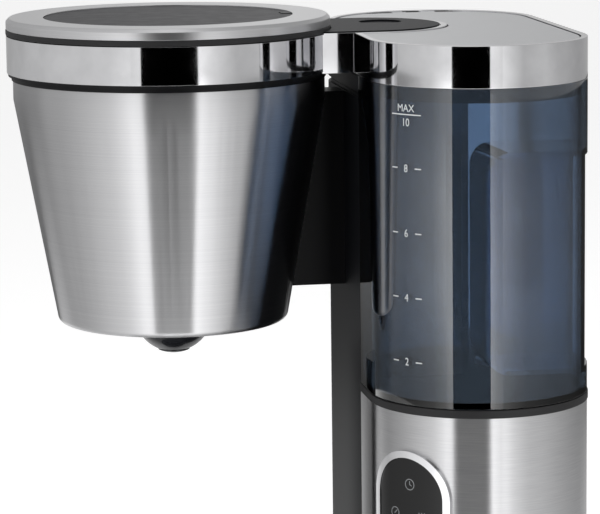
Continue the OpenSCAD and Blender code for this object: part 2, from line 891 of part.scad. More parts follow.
// Moulded holder inside the cone; its stepped rim shows under the band
module filter_holder() color("#232427") difference() {
  union() {
    cone_solid(sheet + slide_fit, cone_foot + sheet + slide_fit, cone_top);
    at_basket() {
      disc(cone_top_r + 0.6, cone_top, cone_top + 2);
      disc(band_r - 0.6, cone_top + 2, band_foot);
    }
  }
  cone_solid(sheet + holder_wall, cone_foot + sheet + holder_floor, cone_top + cut);
  at_basket() {
    disc(insert_seat_r(), cone_top, band_foot + cut);
    disc(spigot_r + 0.2, cone_foot, cone_top, hole_fn);
  }
  web_screw_holes(screw_r);
  for (z = web_screw_z) along_x(bx + inner_r(z) - cut, by, z)
    cylinder(r = screw_head_r + slide_fit, h = cut + head_sink + screw_head_h, $fn = hole_fn);
}

// Radius of the recess that the filter insert's flange drops into
function insert_seat_r() = cone_top_r - 0.6;

// Web that carries the basket on the column
module basket_web() color("#17181b") difference() {
  translate([bx, by - web_w / 2, web_foot]) cube([left_x - bx, web_w, web_h]);
  cone_solid(-pin_fit, cone_foot - cut, cone_top + cut);
  web_screw_holes(screw_r);
}

web_screw_z = [for (t = [0.14, 0.5, 0.86]) web_foot + t * web_h];

module web_screw_holes(r) {
  for (z = web_screw_z) along_x(bx + inner_r(z) - screw_l, by, z)
    cylinder(r = r, h = 2 * screw_l + cut, $fn = hole_fn);
}

// Screws from inside the holder through the steel into the web
module web_screws() color("#9a9c9f") for (z = web_screw_z) {
  along_x(bx + inner_r(z) + head_sink, by, z) {
    cylinder(r = screw_head_r, h = screw_head_h - slide_fit, $fn = hole_fn);
    cylinder(r = screw_r - pin_fit, h = screw_l, $fn = hole_fn);
  }
}

// Radius of the holder's inside face at a height, on its tapered part
function inner_r(z) = min(cone_foot_r + cone_slope * (z - cone_foot), cone_top_r)
  - sheet - holder_wall;

// Ball of the drip stop's dome, its lowest point at a height
module dome(low) {
  translate([0, 0, low]) rotate_extrude($fn = round_fn) intersection() {
    translate([0, dome_r]) circle(r = dome_r, $fn = round_fn);
    square(2 * dome_r);
  }
}

// Housing of the drip stop, a dome that hangs below the cone
module drip_body() color("#1a1b1e") at_basket() difference() {
  union() {
    intersection() {
      dome(drip_foot);
      disc(drip_r, drip_foot, cone_foot + sheet);
    }
    disc(spigot_r, drip_button_top, cone_foot + drip_neck, hole_fn);
  }
  disc(drip_button_r + slide_fit, drip_foot - cut, spring_top, hole_fn);
  disc(drip_stem_r + slide_fit, drip_foot, cone_top, hole_fn);
  for (a = [0, 120, 240]) rotate([0, 0, a]) translate([5.3, 0, 0])
    disc(1, drip_foot, cone_top, hole_fn);
}

module drip_plunger() color("#3c3e42") at_basket() {
  low = drip_foot - plunger_show;
  head_low = cone_foot + drip_neck + drip_seal_h;
  intersection() {
    dome(low);
    disc(drip_button_r, low, drip_button_top, hole_fn);
  }
  disc(drip_stem_r, drip_button_top - cut / 2, head_low + cut / 2, hole_fn);
  disc(spigot_r - 2, head_low, head_low + drip_head_h, hole_fn);
}

module drip_seal() color("#7b2f26") at_basket()
  ring(spigot_r - 2, drip_stem_r, cone_foot + drip_neck + pin_fit,
    cone_foot + drip_neck + drip_seal_h, hole_fn);

module drip_spring() color("#c2c5c8") at_basket()
  coil(drip_stem_r + 2.2, spring_wire, 6, drip_button_top, spring_top);

// Filter basket that lifts out, with ribs inside and a hole above the drip stop
module filter_insert() color("#2f3034") {
  inset = sheet + holder_wall + insert_gap;
  low = cone_foot + insert_rise;
  difference() {
    union() {
      cone_solid(inset, low, cone_top + fit + insert_flange);
      at_basket() disc(insert_seat_r() - fit, cone_top + fit, cone_top + fit + insert_flange);
    }
    cone_solid(inset + insert_wall, low + insert_wall, cone_top + 2 * insert_flange + cut);
    at_basket() disc(5, low - cut, low + 3 * insert_wall, hole_fn);
  }
  at_basket() for (a = [0:30:330]) rotate([0, 0, a])
    translate([rib_start, -0.7, low + insert_wall / 2])
      cube([cone_foot_r - 1.5 * rib_start, 1.4, insert_wall + 1.5]);
}

// ---------------------------------------------------------------- basket lid

module lid_core() color("#222326") at_basket()
  ring(band_r - lid_bevel - 0.2, window_r - 3.5, lid_ring_foot, lid_ring_top - 2 - 0.6);

module lid_ring() color("#c6c7c9") at_basket() difference() {
  rotate_extrude($fn = round_fn) polygon([
    [0, lid_ring_foot], [band_r, lid_ring_foot], [band_r, lid_ring_top - lid_bevel],
    [band_r - lid_bevel, lid_ring_top], [0, lid_ring_top]]);
  disc(band_r - lid_bevel - 0.1, lid_ring_foot - cut, lid_ring_top - 2 - 0.6);
  rotate_extrude($fn = round_fn) polygon([
    [0, lid_ring_top - 3], [band_r - 2 * lid_bevel, lid_ring_top - 3],
    [band_r - 2 * lid_bevel, lid_ring_top - sheet], [0, lid_ring_top - sheet]]);
  disc(window_r + seam, lid_ring_foot - cut, lid_ring_top + cut);
}

module lid_window() color("#4b4c52") at_basket() difference() {
  disc(window_r, lid_ring_top - 2.6, lid_ring_top - 0.5);
  clip_cut(0);
}

// Small catch at the window's edge, on the arm's side
module lid_clip() color("#151618") at_basket() intersection() {
  disc(window_r, lid_ring_top - 2.6, lid_ring_top - 0.2);
  clip_cut(seam);
}

module clip_cut(gap) {
  translate([window_r - 5 + gap, -4 + gap, lid_ring_foot])
    cube([10, 8 - 2 * gap, lid_ring_h + cut]);
}

module lid_seal() color("#26272a") at_basket()
  ring(band_r + seal_proud, band_r - 2.5, seal_foot, lid_ring_foot);

// Shower dish under the lid, fed through a nose that meets the band's wall
module shower_tray() color("#2a2b2f") at_basket() {
  low = lid_ring_foot - shower_depth;
  floor_top = low + 1.5;
  spray_r = 1.5;
  nose_z = arm_pipe_z;
  nose_half = pipe_r + 2;
  difference() {
    union() {
      disc(shower_r + 2, low, lid_ring_foot);
      disc(window_r - 1, lid_ring_foot - 1.5, lid_ring_foot);
      intersection() {
        translate([0, hot_back - nose_half, nose_z - nose_half])
          cube([band_r, 2 * nose_half, 2 * nose_half]);
        disc(band_r - band_wall - fit, low, lid_ring_foot);
      }
    }
    disc(shower_r, floor_top, lid_ring_foot + cut);
    along_x(0, hot_back, nose_z) cylinder(r = pipe_bore, h = band_r, $fn = hole_fn);
    disc(shower_mouth_r, low - cut, floor_top + cut, hole_fn);
    for (share = [1, 2], a = [0:60 / share:359]) rotate([0, 0, a])
      translate([share * shower_r / 3, 0, 0]) disc(spray_r, low - cut, floor_top + cut, hole_fn);
  }
}

// ---------------------------------------------------------------- tank

// Grip pocket in the tank's right side, or the room for its walls when grown by them
module pocket_block(grow) {
  far_wall = tx + end_r - pocket_deep - grow;
  intersection() {
    slab(0, far) translate([far_wall, -pocket_front - grow])
      round_ended(6 + grow, pocket_front - pocket_back + 2 * grow);
    translate([far_wall, far / 2, tank_foot + pocket_low - grow]) rotate([90, 0, 0])
      linear_extrude(far) round_ended(pocket_round + grow, pocket_h + 2 * grow);
  }
}

// Long rectangle whose two corners at its start are rounded
module round_ended(r, breadth) {
  for (y = [r, breadth - r]) translate([r, y]) circle(r = r, $fn = hole_fn);
  translate([0, r]) square([2 * pocket_deep, breadth - 2 * r]);
  translate([r, 0]) square([2 * pocket_deep, breadth]);
}

module tank() color([0.25, 0.32, 0.42, 0.6]) difference() {
  slab(tank_foot, lid_foot) tank_plan();
  difference() {
    slab(tank_foot + tank_wall, lid_foot + cut) tank_plan(tank_wall);
    pocket_block(tank_wall);
  }
  pocket_block(0);
  translate([valve_x, cold_y, 0]) disc(spigot_r + pin_fit, 0, tank_foot + 2 * tank_wall, hole_fn);
}

valve_floor = tank_foot + tank_wall;

module valve_body() color("#dcdad4") translate([valve_x, cold_y, 0]) difference() {
  union() {
    disc(spigot_r, tank_foot - spigot_l, valve_floor, hole_fn);
    disc(spigot_r + 3, valve_floor, valve_floor + 2, hole_fn);
  }
  disc(button_r + slide_fit, 0, tank_foot - 0.5, hole_fn);
  disc(stem_r + slide_fit, 0, far, hole_fn);
  for (a = [0, 120, 240]) rotate([0, 0, a]) translate([4, 0, 0]) disc(1.2, 0, far, hole_fn);
}

// Push button below, a stem, and a head above its seat
module valve_plunger() color("#3c3e42") translate([valve_x, cold_y, 0]) {
  button_top = tank_foot - spigot_l + 4;
  head_low = valve_floor + stop_travel + 3;
  disc(button_r - slide_fit, button_top - 2, button_top, hole_fn);
  disc(stem_r, button_top - cut / 2, head_low + cut / 2, hole_fn);
  disc(head_r, head_low, head_low + 2, hole_fn);
}

module valve_seal() color("#7b2f26") translate([valve_x, cold_y, 0])
  ring(head_r, stem_r, valve_floor + 2 + stop_travel, valve_floor + 2 + stop_travel + 1, hole_fn);

module valve_spring() color("#c2c5c8") translate([valve_x, cold_y, 0])
  coil(stem_r + 1.5, spring_wire, 3, tank_foot - spigot_l + 4, tank_foot - 0.5);

// ---------------------------------------------------------------- tank lid

module lid_frame() color("#d5d7d9") slab(lid_foot, lid_top) difference() {
  lid_plan();
  lid_plan(rim_w);
}

// Black tray under the flap, with a skirt inside the tank and the filling hole
module lid_collar() color("#1b1c1f") {
  difference() {
    union() {
      slab(tray_top - tray_t, tray_top) lid_plan(rim_w + seam);
      slab(lid_foot - collar_reach, tray_top - tray_t + cut) difference() {
        skirt_plan(rim_w + seam);
        skirt_plan(rim_w + seam + collar_wall);
      }
    }
    slab(tray_top - tray_t - cut, tray_top + cut) filling_hole();
    hinge_pocket();
    hinge_bore(flap_pin_r);
  }
  // fixed ears that fill the lid beside the hinge
  slab(tray_top - tray_t / 2, flap_top) intersection() {
    lid_plan(rim_w + seam);
    for (s = [-1, 1])
      translate([tx + s * (hinge_half + seam + ear_l / 2) - ear_l / 2, flap_pin_y - flap_back + 1])
        square([ear_l, end_r]);
  }
  // middle knuckle of the flap's hinge, on a foot down to the tray
  difference() {
    hinge_block(-knuckle_l / 2, knuckle_l, tray_top - tray_t);
    hinge_bore(flap_pin_r);
  }
}

module skirt_plan(inset) {
  difference() {
    tank_plan(inset);
    arm_zone(arm_half + fit + inset);
  }
}

module filling_hole() {
  intersection() {
    lid_plan(rim_w + 9);
    translate([-far / 2, -far - column_front - 6]) square([far, far]);
  }
}

// Clear space for the flap's two knuckles
module hinge_pocket() {
  for (s = [-1, 1]) translate([tx + s * (knuckle_l + seam) - knuckle_l / 2 - seam,
      flap_pin_y - knuckle_r - fit, tray_top - tray_t - cut])
    cube([knuckle_l + 2 * seam, 2 * knuckle_r + 2 * fit, tray_t + 2 * cut]);
}

// Knuckle round the hinge axis with a foot reaching down to a height
module hinge_block(x, l, low) {
  along_x(tx + x, flap_pin_y, flap_pin_z) cylinder(r = knuckle_r, h = l, $fn = hole_fn);
  translate([tx + x, flap_pin_y - knuckle_r, low])
    cube([l, 2 * knuckle_r, flap_pin_z - low]);
}

module hinge_bore(r) {
  along_x(tx - far / 2, flap_pin_y, flap_pin_z) cylinder(r = r, h = far, $fn = hole_fn);
}

// Brushed plate that covers the lid and opens for filling
module lid_flap() color("#b9babc") difference() {
  union() {
    slab(flap_foot, flap_top) intersection() {
      lid_plan(rim_w + flap_gap);
      union() {
        translate([-far / 2, flap_pin_y - flap_back - far]) square(far);
        translate([tx - hinge_half, flap_pin_y - end_r]) square([2 * hinge_half, end_r]);
      }
    }
    for (s = [-1, 1]) along_x(tx + s * (knuckle_l + seam) - knuckle_l / 2, flap_pin_y, flap_pin_z)
      cylinder(r = knuckle_r, h = knuckle_l, $fn = hole_fn);
  }
  hinge_bore(flap_pin_r + pin_fit);
  // room for the fixed middle knuckle
  translate([tx - knuckle_l / 2 - seam, flap_pin_y - knuckle_r - fit, flap_foot - cut])
    cube([knuckle_l + 2 * seam, 3 * knuckle_r, flap_t + 2 * cut]);
}

module flap_pin() color("#c9cbcd")
  along_x(tx - 1.5 * knuckle_l - seam, flap_pin_y, flap_pin_z)
    cylinder(r = flap_pin_r, h = 3 * knuckle_l + 2 * seam, $fn = hole_fn);

// ---------------------------------------------------------------- nodes

base_housing();
base_cover();
feet();
base_screws();
cable_gland();
warming_plate();
plate_seal();
heater();
heater_clamps();
thermostat();
thermal_fuse();
check_valve();
cold_hose();
feed_hose();
hot_hose();
riser_pipe();
hose_clamps();
steel_body();
column();
column_head();
tank_socket();
tank_gasket();
seat_ring();
panel_frame();
panel_face();
display_lens();
control_board();
key_switches();
power_key();
timer_key();
arm_band();
arm_tray();
arm_cap();
filter_holder();
cone_shell();
basket_web();
web_screws();
drip_body();
drip_plunger();
drip_seal();
drip_spring();
filter_insert();
lid_core();
lid_ring();
lid_window();
lid_clip();
lid_seal();
shower_tray();
tank();
valve_body();
valve_plunger();
valve_seal();
valve_spring();
lid_frame();
lid_collar();
lid_flap();
flap_pin();
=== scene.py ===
"""Looks of the drip coffee maker: finishes, eased edges, printed marks, light and camera."""

import json
import math

import bmesh
import bpy
from mathutils import Matrix, Vector


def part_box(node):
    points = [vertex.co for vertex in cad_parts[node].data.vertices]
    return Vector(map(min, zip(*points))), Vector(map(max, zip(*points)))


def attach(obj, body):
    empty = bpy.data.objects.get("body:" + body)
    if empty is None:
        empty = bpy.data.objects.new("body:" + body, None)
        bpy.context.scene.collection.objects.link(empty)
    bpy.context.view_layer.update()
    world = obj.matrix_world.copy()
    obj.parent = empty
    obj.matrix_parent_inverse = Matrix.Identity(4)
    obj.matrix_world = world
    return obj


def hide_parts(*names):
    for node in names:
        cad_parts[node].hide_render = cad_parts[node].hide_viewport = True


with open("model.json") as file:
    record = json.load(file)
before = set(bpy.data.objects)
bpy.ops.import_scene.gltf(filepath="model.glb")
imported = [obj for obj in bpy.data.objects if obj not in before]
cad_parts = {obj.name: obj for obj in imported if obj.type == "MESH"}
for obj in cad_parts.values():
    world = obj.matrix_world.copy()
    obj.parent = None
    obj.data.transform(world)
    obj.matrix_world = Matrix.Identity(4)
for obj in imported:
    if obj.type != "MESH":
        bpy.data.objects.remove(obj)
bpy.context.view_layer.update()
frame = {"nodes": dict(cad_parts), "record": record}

MM = 0.001

# ------------------------------------------------------------------ places, from the CAD

cone_low, cone_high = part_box("cone_shell")
tank_low, tank_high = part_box("tank")
steel_low, steel_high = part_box("steel_body")

BASKET_AXIS = Vector(((cone_low.x + cone_high.x) / 2, (cone_low.y + cone_high.y) / 2, 0))
TOWER_X = (steel_low.x + steel_high.x) / 2
TOWER_R = (tank_high.x - tank_low.x) / 2
# the tower's front is half round about this upright axis
FRONT_AXIS = Vector((TOWER_X, tank_low.y + TOWER_R, 0))


# ------------------------------------------------------------------ finishes

def linear(code):
    """The linear colour of an sRGB hex code."""
    value = int(code.lstrip("#"), 16)
    shares = [(value >> shift & 255) / 255 for shift in (16, 8, 0)]
    return [s / 12.92 if s <= 0.04045 else ((s + 0.055) / 1.055) ** 2.4 for s in shares] + [1]


def add_node(tree, kind, values=None, links=None, stops=None, **properties):
    """Adds one node with its properties, socket values, incoming links and colour stops."""
    made = tree.nodes.new(kind)
    for name, value in properties.items():
        setattr(made, name, value)
    for name, value in (values or {}).items():
        made.inputs[name].default_value = value
    for name, output in (links or {}).items():
        tree.links.new(output, made.inputs[name])
    for i, (place, colour) in enumerate(stops or []):
        ramp = made.color_ramp.elements
        stop = ramp[i] if i < len(ramp) else ramp.new(place)
        stop.position = place
        stop.color = linear(colour)
    return made


def new_tree(name):
    """A new material, its node tree and its shader."""
    material = bpy.data.materials.new(name)
    material.use_nodes = True
    return material, material.node_tree, material.node_tree.nodes["Principled BSDF"]


# The part of the noise's range that the tones and the roughness are spread over
GRAIN_LOW, GRAIN_HIGH = 0.3, 0.7
GRAIN_DETAIL = 3.0
# How far the shader's facing value runs while a tinted wall goes over to its edge's tone
EDGE_FROM, EDGE_TO = 0.2, 0.6


def finish(name, tones, rough, grain, depth, run=(1, 1, 1), metallic=0.0, turned=None,
           drawn=None, edge=None, **sockets):
    """A material shaded by noise of a real grain.

    tones: darker and lighter hex; rough: least and most roughness; grain and depth: the
    noise's size and height in mm; run: how often it repeats along X, Y and Z against that
    size; turned: the axis that the marks of a lathe or a spinning brush run round; drawn:
    the way in which hairlines draw out what they reflect, square to themselves; edge: the
    tone of a tinted wall looked along rather than through.
    """
    material, tree, shader = new_tree(name)
    shader.inputs["Metallic"].default_value = metallic
    for socket, value in sockets.items():
        shader.inputs[socket.replace("_", " ")].default_value = value
    place = add_node(tree, "ShaderNodeTexCoord").outputs["Object"]
    if turned is not None:
        from_axis = add_node(tree, "ShaderNodeMapping",
                             {"Location": (-turned.x, -turned.y, 0), "Scale": (1, 1, 0)},
                             {"Vector": place})
        radius = add_node(tree, "ShaderNodeVectorMath", links={0: from_axis.outputs["Vector"]},
                          operation="LENGTH")
        height = add_node(tree, "ShaderNodeSeparateXYZ", links={"Vector": place})
        place = add_node(tree, "ShaderNodeCombineXYZ",
                         links={"X": radius.outputs["Value"], "Z": height.outputs["Z"]}
                         ).outputs["Vector"]
    often = 1 / (grain * MM)
    spread = add_node(tree, "ShaderNodeMapping", {"Scale": [often * r for r in run]},
                      {"Vector": place})
    grains = add_node(tree, "ShaderNodeTexNoise", {"Scale": 1.0, "Detail": GRAIN_DETAIL},
                      {"Vector": spread.outputs["Vector"]})
    shade = add_node(tree, "ShaderNodeValToRGB", links={"Fac": grains.outputs["Fac"]},
                     stops=[(GRAIN_LOW, tones[0]), (GRAIN_HIGH, tones[1])])
    dull = add_node(tree, "ShaderNodeMapRange",
                    {"From Min": GRAIN_LOW, "From Max": GRAIN_HIGH,
                     "To Min": rough[0], "To Max": rough[1]},
                    {"Value": grains.outputs["Fac"]})
    if edge:
        slant = add_node(tree, "ShaderNodeLayerWeight", {"Blend": 0.5})
        share = add_node(tree, "ShaderNodeMapRange",
                         {"From Min": EDGE_FROM, "From Max": EDGE_TO},
                         {"Value": slant.outputs["Facing"]})
        shade = add_node(tree, "ShaderNodeMixRGB", {"Color2": linear(edge)},
                         {"Fac": share.outputs["Result"], "Color1": shade.outputs["Color"]})
    tree.links.new(shade.outputs["Color"], shader.inputs["Base Color"])
    tree.links.new(dull.outputs["Result"], shader.inputs["Roughness"])
    if drawn:
        shader.inputs["Anisotropic"].default_value = 1.0
        way = add_node(tree, "ShaderNodeCombineXYZ", dict(zip("XYZ", drawn)))
        tree.links.new(way.outputs["Vector"], shader.inputs["Tangent"])
    if depth:
        relief = add_node(tree, "ShaderNodeBump", {"Strength": 1.0, "Distance": depth * MM},
                          {"Height": grains.outputs["Fac"]})
        tree.links.new(relief.outputs["Normal"], shader.inputs["Normal"])
    return material


# Brushed stainless: an abrasive belt leaves level hairlines a quarter of a millimetre wide
# and some centimetres long, which blur what they reflect up and down.
UPRIGHT = (0.01, 0, 1)
BRUSHED = finish("brushed_stainless_steel", ("#c5c5c7", "#d3d3d4"), (0.28, 0.32), 0.25, 0.001,
                 run=(0.02, 0.02, 1), metallic=1.0, drawn=UPRIGHT)
# The cone is brushed while it spins, so its hairlines run round the basket's axis.
SPUN = finish("spun_brushed_stainless_steel", ("#c5c5c7", "#d3d3d4"), (0.28, 0.32), 0.25, 0.001,
              metallic=1.0, turned=BASKET_AXIS, drawn=UPRIGHT)
# The lid's ring has a finer satin finish, turned in the same way.
SATIN = finish("satin_turned_stainless_steel", ("#d2d2d4", "#dededf"), (0.28, 0.33), 0.3, 0.001,
               metallic=1.0, turned=BASKET_AXIS)
# The flap is a plate brushed straight across, fine enough to look even.
PLATE = finish("fine_brushed_steel_plate", ("#d2d3d5", "#dadbdd"), (0.34, 0.4), 0.3, 0.001,
               run=(0.03, 1, 1), metallic=1.0)
# Buffed stainless mirrors the room, with faint clouds of wiping marks a centimetre across.
POLISHED = finish("buffed_stainless_steel", ("#d8d8da", "#e6e6e8"), (0.035, 0.075), 14, 0,
                  metallic=1.0)
# Moulded ABS with a fine spark-eroded texture, which scatters a soft sheen.
COLUMN = finish("spark_eroded_charcoal_abs", ("#121316", "#17181b"), (0.42, 0.5), 0.4, 0.012,
                Specular_IOR_Level=0.11)
BLACK = finish("moulded_black_abs", ("#0f0f11", "#151517"), (0.34, 0.42), 0.5, 0.008,
               Specular_IOR_Level=0.2)
BASE = finish("spark_eroded_black_abs", ("#17181a", "#1d1e20"), (0.45, 0.52), 0.4, 0.014)
COVER = finish("coarse_textured_abs_underside", ("#26272a", "#303134"), (0.55, 0.65), 0.8, 0.03)
KEYS = finish("moulded_grey_abs_keys", ("#26282c", "#2d2f33"), (0.3, 0.36), 0.4, 0.006)
GREY = finish("moulded_dark_grey_polypropylene", ("#27282b", "#303134"), (0.38, 0.46), 0.6, 0.01)
NATURAL = finish("natural_polypropylene", ("#cfccc4", "#dedbd4"), (0.36, 0.44), 0.8, 0.01,
                 Subsurface_Weight=0.1)
# Silicone and rubber are matt, with a slight bloom where they have been handled.
RUBBER = finish("black_epdm_rubber", ("#121213", "#1c1c1e"), (0.5, 0.62), 0.7, 0.012)
SEAL = finish("red_silicone_seal", ("#6c2a20", "#7f3527"), (0.44, 0.52), 0.7, 0.006)
SILICONE = finish("translucent_silicone_hose", ("#d0cbc1", "#dfdbd2"), (0.34, 0.42), 1.2, 0.01,
                  Subsurface_Weight=0.2)
# Painted non-stick coating on pressed steel: a dull sheen with a fine orange peel.
COATED = finish("nonstick_coated_steel", ("#1b1b1d", "#242427"), (0.36, 0.48), 0.6, 0.02)
# Die-cast aluminium keeps the grey, slightly pitted skin of its mould.
CAST = finish("die_cast_aluminium", ("#9c9ea1", "#b9bbbe"), (0.42, 0.55), 1.1, 0.05, metallic=1.0)
CERAMIC = finish("steatite_ceramic", ("#cdc8ba", "#dcd7ca"), (0.5, 0.6), 0.5, 0.01)
TINNED = finish("tinned_brass", ("#b08d3d", "#c9a655"), (0.28, 0.36), 1.0, 0.004, metallic=1.0)
ZINC = finish("zinc_plated_steel", ("#96989b", "#b0b2b5"), (0.24, 0.34), 0.8, 0.006, metallic=1.0)
DRAWN = finish("drawn_stainless_tube", ("#bcbec0", "#cfd0d2"), (0.14, 0.2), 0.6, 0.003,
               run=(0.2, 0.2, 0.2), metallic=1.0)
SPRING = finish("bright_spring_steel", ("#b6b8bb", "#c8cacc"), (0.18, 0.26), 0.5, 0.002,
                metallic=1.0)
# Gloss black acrylic face with a hard clear coat.
GLOSS = finish("gloss_black_acrylic", ("#0a0a0b", "#0e0e0f"), (0.12, 0.16), 3, 0,
               Specular_IOR_Level=0.35)
# The drip stop is polished where the jug's lid rubs it.
RUBBED = finish("polished_dark_acetal", ("#222327", "#2a2b2f"), (0.14, 0.2), 4, 0)
BOARD = finish("green_solder_mask", ("#14492f", "#1c5a3b"), (0.28, 0.4), 1.5, 0.02)
# Smoked styrene-acrylonitrile: clear blue-grey moulding with a faint flow haze.
TANK = finish("smoked_clear_san", ("#8fa3bb", "#96aac2"), (0.015, 0.035), 18, 0,
              edge="#141a20", IOR=1.57, Transmission_Weight=1.0, Coat_Weight=1.0,
              Coat_Roughness=0.02)
# The tank's floor is frosted by spark erosion, and lies on the black seat.
FROSTED = finish("frosted_dark_san_floor", ("#07090c", "#0b0e12"), (0.5, 0.6), 0.5, 0.01,
                 Specular_IOR_Level=0.02)
# The lid's window has an even anti-glare texture, so it hardly mirrors the room.
WINDOW = finish("smoked_antiglare_window", ("#212125", "#26262a"), (0.3, 0.36), 9, 0,
                IOR=1.49, Transmission_Weight=0.3, Specular_IOR_Level=0.008)
LENS = finish("tinted_display_window", ("#5a6066", "#62686e"), (0.02, 0.04), 6, 0,
              IOR=1.49, Transmission_Weight=1.0)
# Screen-printing ink lies flat and matt on the plastic.
WHITE_INK = finish("white_screen_ink", ("#e4e6e8", "#f0f2f3"), (0.5, 0.6), 0.3, 0)
GREY_INK = finish("grey_screen_ink", ("#8d8f92", "#9a9c9f"), (0.5, 0.6), 0.3, 0)

OF_SLOT = {
    "base_plastic": BASE, "cover_plastic": COVER, "rubber": RUBBER, "seal_rubber": SEAL,
    "screw_steel": ZINC, "coated_plate": COATED, "cast_aluminium": CAST, "ceramic": CERAMIC,
    "fuse_metal": TINNED, "natural_plastic": NATURAL, "silicone": SILICONE,
    "pipe_steel": DRAWN, "brushed_steel": BRUSHED, "column_plastic": COLUMN,
    "black_plastic": BLACK, "polished_metal": POLISHED, "panel_gloss": GLOSS,
    "display_glass": LENS, "board_green": BOARD, "key_plastic": KEYS, "grey_plastic": GREY,
    "spring_steel": SPRING, "smoked_window": WINDOW, "smoked_tank": TANK,
}
# nodes whose finish differs from the rest of their slot
OF_NODE = {"cone_shell": SPUN, "lid_ring": SATIN, "lid_flap": PLATE, "drip_body": RUBBED,
           "drip_plunger": RUBBED}

# ------------------------------------------------------------------ the CAD's own pieces

slot_of = {part["node"]: part["material_slot"] for part in frame["record"]["subparts"]}
body_of = {node: body for body, members in frame["record"]["behaviour"]["bodies"].items()
           for node in members}

for node, piece in frame["nodes"].items():
    piece.data.materials.clear()
    piece.data.materials.append(OF_NODE.get(node, OF_SLOT[slot_of[node]]))

# Radius in mm to which each visible piece's sharp edges are eased
EASED = {
    "base_housing": 0.8, "warming_plate": 0.5, "plate_seal": 0.3, "feet": 0.5,
    "steel_body": 0.12, "column": 0.5, "column_head": 0.4, "seat_ring": 0.5,
    "panel_frame": 0.8, "panel_face": 0.2, "display_lens": 0.08,
    "power_key": 0.35, "timer_key": 0.35, "arm_band": 0.2, "arm_cap": 0.3, "arm_tray": 0.3,
    "filter_holder": 0.25, "cone_shell": 0.1, "basket_web": 0.6, "drip_plunger": 0.2,
    "filter_insert": 0.3, "lid_core": 0.2, "lid_ring": 0.25, "lid_window": 0.2,
    "lid_clip": 0.2, "lid_seal": 0.5, "shower_tray": 0.3, "tank": 0.25, "lid_frame": 0.3,
    "lid_collar": 0.3, "lid_flap": 0.3, "cable_gland": 0.3,
}
# Least angle of a sharp edge, reach of a weld, and greatest angle that still counts as flat
CREASE = math.radians(30)
WELD = 0.002 * MM
FLAT = math.radians(0.4)
BEVEL_STEPS = 2
# The tank's floor: its faces that look up or down this much, up to this height
LOOKS_UP = 0.9
FLOOR_T = 4 * MM


def in_scene(name, data):
    """A new object in the scene."""
    made = bpy.data.objects.new(name, data)
    bpy.context.scene.collection.objects.link(made)
    return made


def mesh_of(name, work):
    """A mesh from the one in the making, which is freed."""
    mesh = bpy.data.meshes.new(name)
    work.to_mesh(mesh)
    work.free()
    return mesh


def eased(node, radius):
    """A merged copy of a CAD node with its sharp edges rounded over, standing for it."""
    mesh = frame["nodes"][node].data.copy()
    # the CAD's own shading of the edges would not fit the rounded ones
    for name in ("custom_normal", "sharp_face", "sharp_edge"):
        if name in mesh.attributes:
            mesh.attributes.remove(mesh.attributes[name])
    work = bmesh.new()
    work.from_mesh(mesh)
    bmesh.ops.remove_doubles(work, verts=work.verts, dist=WELD)
    bmesh.ops.dissolve_limit(work, angle_limit=FLAT, verts=work.verts, edges=work.edges)
    for face in work.faces:
        face.smooth = True
    for edge in work.edges:
        edge.smooth = edge.is_manifold and edge.calc_face_angle(0) < CREASE
    work.to_mesh(mesh)
    work.free()
    piece = in_scene(node + "_eased", mesh)
    bevel = piece.modifiers.new("eased", "BEVEL")
    bevel.width = radius * MM
    bevel.segments = BEVEL_STEPS
    bevel.limit_method = "ANGLE"
    bevel.angle_limit = CREASE
    bevel.harden_normals = True
    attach(piece, body_of[node])
    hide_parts(node)
    return piece


for node, radius in EASED.items():
    piece = eased(node, radius)
    if node == "tank":
        piece.data.materials.append(FROSTED)
        for face in piece.data.polygons:
            if abs(face.normal.z) > LOOKS_UP and face.center.z < tank_low.z + FLOOR_T:
                face.material_index = 1


# ------------------------------------------------------------------ printed marks

# Thickness of the ink, its gap to the surface, and the length of print that stays straight
PRINT = 0.05
INK_GAP = 0.02
STRAIGHT = 1.5


def add_to(work, part):
    """Adds one mesh in the making to another, and frees it."""
    shape = mesh_of("part", part)
    work.from_mesh(shape)
    bpy.data.meshes.remove(shape)


def lettering(work, words, height, squeeze, centre):
    """Adds thin raised lettering of a cap height in mm, centred on a point of the print."""
    curve = bpy.data.curves.new("lettering", "FONT")
    curve.body = words
    curve.align_x = "CENTER"
    curve.extrude = PRINT / 2
    holder = in_scene("lettering", curve)
    shape = bpy.data.meshes.new_from_object(
        holder.evaluated_get(bpy.context.evaluated_depsgraph_get()))
    top = max(v.co.y for v in shape.vertices)
    scale = height / top
    shape.transform(Matrix.Translation((centre[0], centre[1] - height / 2, 0))
                    @ Matrix.Diagonal((scale * squeeze, scale, 1, 1)))
    work.from_mesh(shape)
    bpy.data.objects.remove(holder)
    bpy.data.curves.remove(curve)
    bpy.data.meshes.remove(shape)


def stroke(work, centre, length, width, turn=0.0):
    """Adds a thin printed bar in mm, cut into short lengths so that it can bend."""
    bar = bmesh.new()
    bmesh.ops.create_cube(bar, size=1.0)
    along = [e for e in bar.edges if abs(e.verts[0].co.x - e.verts[1].co.x) > 0.5]
    bmesh.ops.subdivide_edges(bar, edges=along, cuts=max(1, int(length / STRAIGHT)),
                              use_grid_fill=True)
    bmesh.ops.scale(bar, vec=(length, width, PRINT), verts=bar.verts)
    bmesh.ops.rotate(bar, cent=(0, 0, 0), matrix=Matrix.Rotation(turn, 3, "Z"), verts=bar.verts)
    bmesh.ops.translate(bar, vec=(centre[0], centre[1], 0), verts=bar.verts)
    add_to(work, bar)


